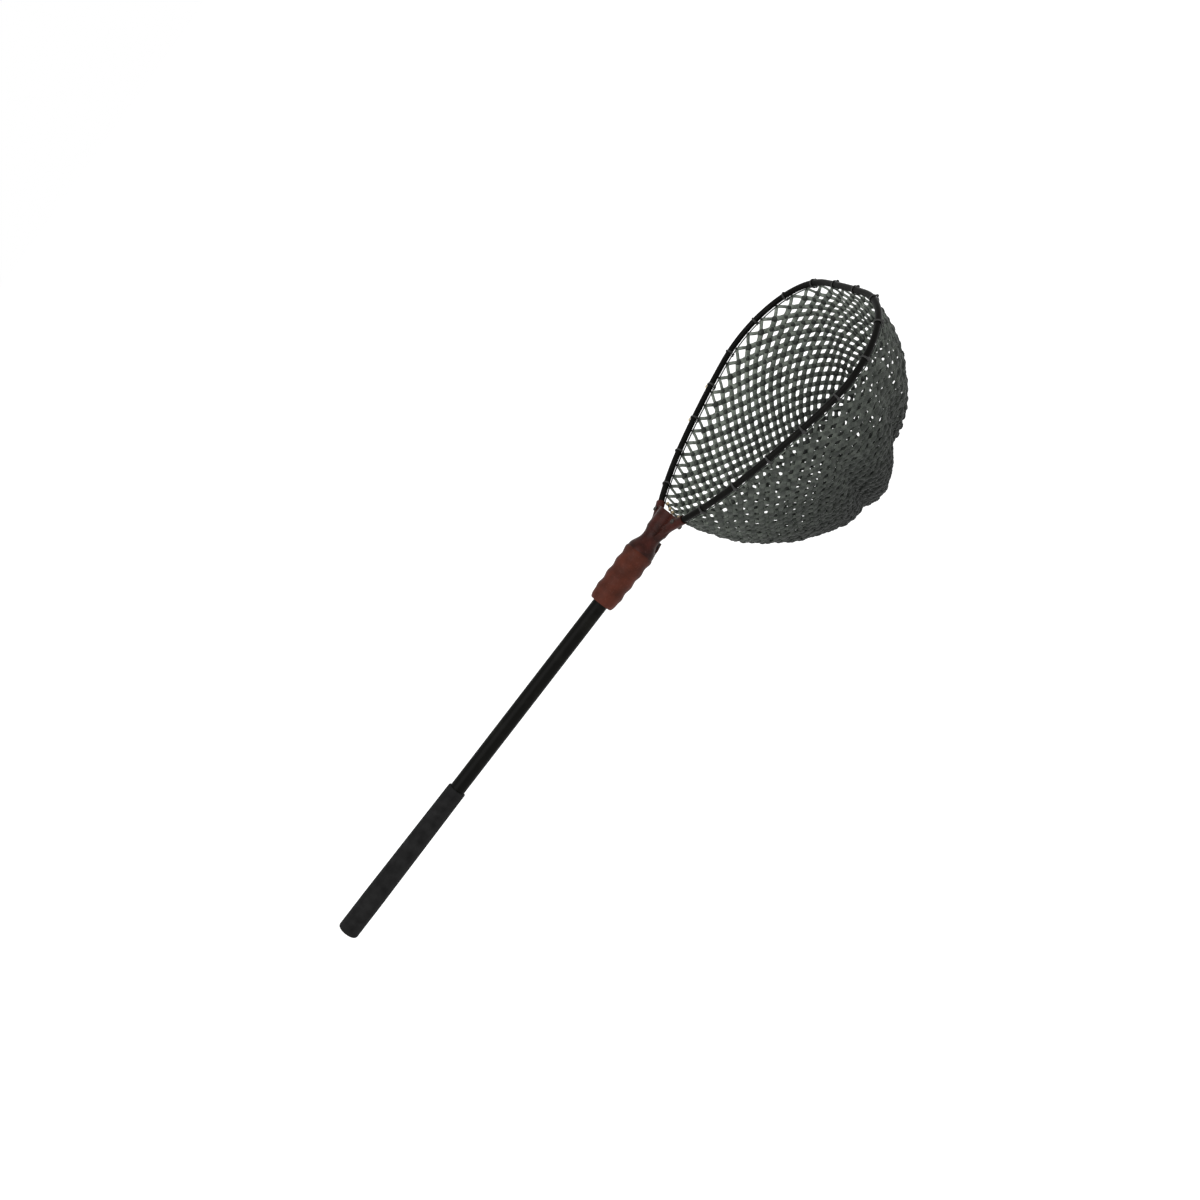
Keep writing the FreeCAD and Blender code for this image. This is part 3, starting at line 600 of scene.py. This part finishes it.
hung = hang(everything.reshape(-1, 3)).reshape(LEVELS, MESHES_ROUND, 3)
print("lowest knot", round(float(hung[..., 2].min()), 4), "widest", np.round(hung[..., 1].max(), 4),
      "x", np.round([hung[..., 0].min(), hung[..., 0].max()], 4))

# %% [markdown]
# ## Folds
# The bag is creased: three pleats run from the rim towards the bottom, and two of them notch its
# outline.  A pleat draws the knots towards its line, dents the wall inwards and lifts the bottom
# beside it.

# %% Fold the net
PLEATS = [
    # rim end (x, y), bottom end (x, y), half width, dent, lift
    ((1.130, -0.196), (1.092, -0.06), 0.024, 0.018, 0.030),
    ((1.010, -0.170), (1.000, -0.06), 0.015, 0.010, 0.018),
    ((1.215, 0.120), (1.140, 0.07), 0.022, 0.010, 0.008),
]
SQUEEZE = 0.45
PUCKER = 0.0035
PUCKERS_ROUND = 7
PUCKER_PHASE = 0.3
LOWEST = -0.276


def pleated(points):
    """For each pleat, s is the distance from its upright plane and g = exp(-(s/half)^2), which
    fades out beyond the pleat's two ends.  A knot moves -SQUEEZE s g across the plane, dent * g
    towards the bag's axis and lift * g upwards, each growing with depth."""
    out = points.copy()
    depth = np.clip(-points[..., 2] / BAG_DEPTH, 0, 1)
    grow = depth ** 1.2
    for start, end, half, dent, lift in PLEATS:
        start, end = np.array(start), np.array(end)
        line = unit(end - start)
        across = np.array([-line[1], line[0]])
        s = (points[..., :2] - start) @ across
        along = (points[..., :2] - start) @ line
        reach = np.linalg.norm(end - start)
        near = 1 / (1 + np.exp(-(along + 0.03) / 0.01)) / (1 + np.exp((along - reach - 0.04) / 0.02))
        g = np.exp(-(s / half) ** 2) * near
        inward = unit(np.array([centre_x, 0.0]) - points[..., :2])
        wall = np.clip((1 - depth) * 3, 0, 1)
        out[..., :2] += (-SQUEEZE * s * g * np.sqrt(depth))[..., None] * across
        out[..., :2] += (dent * g * grow * wall)[..., None] * inward
        out[..., 2] += lift * g * grow
    return out


folded = pleated(hung)
folded[0] = hung[0]
wave = np.sin(2 * np.pi * (PUCKERS_ROUND * around.mean(0) + PUCKER_PHASE))
folded[..., 2] += PUCKER * wave[None] * np.linspace(0, 1, LEVELS)[:, None] ** 1.5
folded[..., 2] = np.maximum(folded[..., 2], LOWEST)
print("folded; lowest", round(float(folded[..., 2].min()), 4))

# %% [markdown]
# ## Bars and knots
# Each bar is a flat band with a coat of rubber, wider where it meets a knot.  Painted shade makes
# the coat darker on the bag's outside than inside, and darkest low down; the knots are darker too.

# %% Bars and knots
TWINE = 0.0050
TWINE_TAPER = 0.35
BAND_DEPTH = 0.0016
JOINT_FLARE = np.array([1.08, 0.90, 1.08])
KNOT_ALONG, KNOT_DOWN, KNOT_OUT = 0.0062, 0.0050, 0.0029
GATHER = (0.011, 0.009, 0.004)
GATHER_DROP = 0.002


def lattice_frames(points):
    """At each knot: along the row, down the bag, and outwards, which is the cross of the two."""
    along = unit(np.roll(points, -1, 1) - np.roll(points, 1, 1))
    down_bag = unit(np.gradient(points, axis=0))
    out = unit(np.cross(along, down_bag))
    return along, unit(np.cross(out, along)), out


def bar_paths(points, pairs, outwards, sag=0.0007):
    """Bars with a middle station that bellies outwards a little, and a random hair sideways."""
    a, b = points[pairs[:, 0]], points[pairs[:, 1]]
    n = unit(outwards[pairs[:, 0]] + outwards[pairs[:, 1]])
    middle = (a + b) / 2 + n * chance.normal(0, sag, (len(a), 1)) + chance.normal(0, 0.0004, a.shape)
    return np.stack([a, middle, b], 1), np.repeat(n[:, None], 3, 1)


along, down_bag, outward = lattice_frames(folded)
flat_points, flat_out = folded.reshape(-1, 3), outward.reshape(-1, 3)
top = (bars[:, 0] < MESHES_ROUND)
body_paths, body_normals = bar_paths(flat_points, bars[~top], flat_out)
fall_share = np.clip(-body_paths[..., 2] / BAG_DEPTH, 0, 1)
bar_half = TWINE * (1 - TWINE_TAPER * fall_share)
net_bars = cords(body_paths, body_normals, bar_half * JOINT_FLARE, BAND_DEPTH)
grow = chance.uniform(0.85, 1.2, ((LEVELS - 1) * MESHES_ROUND, 1))
knot_parts = lumps(flat_points[MESHES_ROUND:], along[1:].reshape(-1, 3) * KNOT_ALONG * grow,
                   -down_bag[1:].reshape(-1, 3) * KNOT_DOWN * grow,
                   flat_out[MESHES_ROUND:] * KNOT_OUT * grow)
gather_at = folded[-1].mean(0) - [0, 0, GATHER_DROP]
gather = lumps(gather_at[None], *np.diag(GATHER)[:, None], sides=16, bands=8)


def netting_finish(name, low, high):
    """The rubber coat: clouds and strands from low to high, times three darkening factors: painted
    shade on the outside of every cord, a darker tone on the knots, and painted shade low down."""
    f = Finish(name, high, 0.62, specular_ior_level=0.2)
    uv = f.along()
    strand = (uv.part(0) * 2600 + uv.part(1) * 6.2832).sin() * 0.5 + 0.5
    cloud = spread(f.noise(85, detail=3), 0.40, 0.62)
    fibre = f.noise(1800, detail=2)
    knotty = (-1.0 * uv.part(0)).clamped()
    # painted shade: the outward half of each cord is darkened, standing in for the shade on the bag's outside
    outer = spread((uv.part(1) * 6.2832).sin(), -0.3, 0.5)
    # painted shade: darker towards the bag's bottom, a little more so towards the hoop's tip, standing in for
    # the shade low on the bag
    painted_low_shade = spread(f.place().part(0) * 0.25 - f.place().part(2), 0.30, 0.46)
    coat = f.blend(cloud * 0.6 + strand * 0.3, low, high)
    # this product darkens the coat: the outside and low-down factors are painted shade, the knot factor is
    # the knots' own darker tone
    light = (1 - outer * 0.70) * (1 - knotty * 0.80) * (1 - painted_low_shade * 0.82)
    f.set(base_color=f.blend(light, (0.004, 0.005, 0.0045, 1), coat), roughness=0.5 + fibre * 0.25)
    return f.bump(strand + fibre * 0.4, 0.0005, 0.6).material


finishes["netting"] = netting_finish("netting", (0.070, 0.083, 0.070, 1), (0.250, 0.278, 0.238, 1))
piece("netting", [net_bars, knot_parts, gather], finishes["netting"], "head", "netting", ["net_bag"])

# %% [markdown]
# ## The hanging row
# The first meshes are longer and thinner, and are tied to a line that runs under the hoop.

# %% Hanging row and its line
ROW_BAR_HALF, ROW_BAR_DEPTH = 0.0029, 0.0014
LINE_R = 0.0011
LINE_STATIONS = 480
top_paths, top_normals = bar_paths(flat_points, bars[top], flat_out, 0.0003)
row_bars = cords(top_paths, top_normals, ROW_BAR_HALF, ROW_BAR_DEPTH)
line_share = (np.arange(LINE_STATIONS) + 0.5) / LINE_STATIONS
lx, ly = mouth_outline(line_share)
line_path = np.stack([lx, ly, hang_height(lx, ly)], -1)[None]
line_up = np.broadcast_to([0.0, 0.0, 1.0], line_path.shape)
head_line = cords(line_path, line_up, LINE_R, LINE_R, closed=True)
loop_knots = lumps(anchors, along[0] * 0.0026, -down_bag[0] * 0.0024, outward[0] * 0.0022)
piece("hanging_meshes", [row_bars, head_line, loop_knots], finishes["netting"], "head", "netting",
      ["hanging_row"])

# %% [markdown]
# ## Lacing
# Black twine goes twice round the hoop and the line under it, every few meshes, and ends in a
# knot on the outside.  Each turn is an egg-shaped loop, taller than it is wide.

# %% Lacing turns
LACING_STEP = 0.062
TWINE_R = 0.0008
LOOP_OUT, LOOP_UP, LOOP_DOWN = 0.0060, 0.0059, 0.0096


def twine_finish(name, low, high):
    """Twisted twine: slanting strands from the two UV directions, and fine fibres."""
    f = Finish(name, high, 0.7)
    uv = f.along()
    strand = (uv.part(0) * 3200 + uv.part(1) * 12.566).sin() * 0.5 + 0.5
    fibre = f.noise(2200, detail=2)
    f.set(base_color=f.blend(strand * 0.6 + fibre * 0.4, low, high), roughness=0.6 + fibre * 0.25)
    return f.bump(strand + fibre * 0.5, 0.0003, 0.7).material


finishes["black_twine"] = twine_finish("black_twine", (0.008, 0.008, 0.008, 1),
                                       (0.028, 0.028, 0.026, 1))
finishes["pale_twine"] = twine_finish("pale_twine", (0.30, 0.23, 0.12, 1), (0.66, 0.54, 0.33, 1))

TURNS_A_SIDE = int(FLANK / LACING_STEP)
turn_at = RIM_START + (np.arange(TURNS_A_SIDE) + 0.5) * (FLANK - RIM_START) / TURNS_A_SIDE
turn_at = np.concatenate([turn_at, 2 * FLANK - turn_at])
spot = on_hoop(turn_at)
heading = unit(on_hoop(turn_at + 0.001) - on_hoop(turn_at - 0.001))
outside = unit(np.cross(heading, [0, 0, 1.0]))
outside *= np.sign((outside * (spot - [centre_x, 0, 0])).sum(1))[:, None]


def egg_loops(shift, lean, stations=20):
    """Loops round the hoop: out by LOOP_OUT times the cosine, up by LOOP_UP or down by LOOP_DOWN
    times the sine, and along by the shift and by lean times the sine, so that two turns cross."""
    turn = 2 * np.pi * np.arange(stations) / stations
    up = np.where(np.sin(turn) > 0, LOOP_UP, LOOP_DOWN) * np.sin(turn)
    return (spot[:, None] + outside[:, None] * (LOOP_OUT * np.cos(turn))[None, :, None]
            + np.array([0, 0, 1.0]) * up[None, :, None]
            + heading[:, None] * (shift + lean * np.sin(turn))[None, :, None])


loops = [cords(p, np.broadcast_to(heading[:, None], p.shape), TWINE_R, TWINE_R, closed=True)
         for p in (egg_loops(-0.0010, 0.0006), egg_loops(0.0010, -0.0006))]
tie_knots = lumps(spot + outside * 0.0072 + [0, 0, -0.001], outside * 0.0022, heading * 0.0030,
                  np.broadcast_to([0, 0, 0.0026], spot.shape))
piece("lacing_turns", loops + [tie_knots], finishes["black_twine"], "head", "black_twine", ["lacing"])

# %% [markdown]
# ## The cord across the yoke
# A cord dips under the tube's path, and seven pale ties hold the meshes to it.  Two more pale
# loops, ends of the same twine, stand out from the hoop on its left side.

# %% Rim cord and ties
CORD_R = 0.001
CORD_BACK = 0.0002
CORD_STATIONS = 60
DIP_POWER = 1.15
TIE_R, TIE_TWINE_R = 0.0017, 0.0006
TIE_KNOT = (0.0026, 0.0036, 0.0022)
LOOSE_TURNS = [2, 3]
LOOSE_OUT, LOOSE_LONG, LOOSE_WIDE, LOOSE_R = 0.0105, 0.0036, 0.0030, 0.0009
low_corner, high_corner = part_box("rim_cord")
cord_x = (low_corner.x + high_corner.x) / 2 - CORD_BACK
cord_top, cord_low = high_corner.z - CORD_R, low_corner.z + CORD_R
cord_half = high_corner.y - CORD_R
across = np.linspace(-cord_half, cord_half, CORD_STATIONS)
dip = np.clip((cord_half - np.abs(across)) / (cord_half - PATH_R), 0, 1) ** DIP_POWER
cord_path = np.stack([cord_x - bow(across), across, cord_top + (cord_low - cord_top) * dip], -1)[None]
cord_normal = np.broadcast_to([1.0, 0.0, 0.0], cord_path.shape)
piece("rim_line", [cords(cord_path, cord_normal, CORD_R, CORD_R, sides=10)],
      finishes["black_twine"], "head", "black_twine", ["rim_cord"])

tie_y = np.array([-0.0435, -0.0325, -0.0225, 0.0, 0.0225, 0.0325, 0.0435])
tie_z = np.interp(tie_y, across, cord_path[0, :, 2])
tie_x = np.interp(tie_y, across, cord_path[0, :, 0])
tie_turn = 2 * np.pi * np.arange(14) / 14
ties = []
for shift in (-0.0007, 0.0007):
    path = np.stack([tie_x[:, None] + TIE_R * np.cos(tie_turn)[None],
                     tie_y[:, None] + shift + 0 * tie_turn[None],
                     tie_z[:, None] + TIE_R * np.sin(tie_turn)[None]], -1)
    ties.append(cords(path, np.broadcast_to([0.0, 1.0, 0.0], path.shape), TIE_TWINE_R, TIE_TWINE_R,
                      closed=True))
tie_spot = np.stack([tie_x + 0.0014, tie_y, tie_z + 0.0012], -1)
ties.append(lumps(tie_spot, *np.diag(TIE_KNOT)[:, None]))
loose_turn = 2 * np.pi * np.arange(16) / 16
reach_out = LOOSE_OUT + LOOSE_LONG * np.cos(loose_turn)
reach_along = LOOSE_WIDE * np.sin(loose_turn)
loose_path = (spot[LOOSE_TURNS][:, None] + outside[LOOSE_TURNS][:, None] * reach_out[None, :, None]
              + heading[LOOSE_TURNS][:, None] * reach_along[None, :, None])
loose_up = np.broadcast_to([0.0, 0.0, 1.0], loose_path.shape)
ties.append(cords(loose_path, loose_up, LOOSE_R, LOOSE_R, closed=True))
piece("pale_ties", ties, finishes["pale_twine"], "head", "pale_twine", ["rim_ties"])

# %% [markdown]
# ## Floor and light
# A plain pale floor well below, a bright even sky, and one broad soft sun from above.

# %% Stage
FLOOR_Z = -0.62
FLOOR_EDGE = 400.0
corners = [(-1, -1), (1, -1), (1, 1), (-1, 1)]
floor_mesh = bpy.data.meshes.new("floor")
floor_mesh.from_pydata([(x * FLOOR_EDGE, y * FLOOR_EDGE, FLOOR_Z) for x, y in corners], [], [(0, 1, 2, 3)])
floor = bpy.data.objects.new("floor", floor_mesh)
bpy.context.scene.collection.objects.link(floor)
pale = Finish("pale_floor", (0.92, 0.92, 0.92, 1), 0.9, specular_ior_level=0.0)
tone = pale.noise(1.5, detail=2)
pale.set(base_color=pale.blend(tone, (0.915, 0.915, 0.915, 1), (0.925, 0.925, 0.925, 1)))
floor_mesh.materials.append(pale.material)

world = bpy.data.worlds.new("sky")
world.use_nodes = True
world.node_tree.nodes["Background"].inputs[0].default_value = (1, 1, 1, 1)
world.node_tree.nodes["Background"].inputs[1].default_value = 1.0
bpy.context.scene.world = world
bpy.context.scene.view_settings.view_transform = "Standard"

sun_data = bpy.data.lights.new("soft_sun", "SUN")
sun_data.energy, sun_data.angle = 1.6, math.radians(50)
sun = bpy.data.objects.new("soft_sun", sun_data)
bpy.context.scene.collection.objects.link(sun)
sun.rotation_euler = (math.radians(32), math.radians(-18), 0)
print("stage ready")
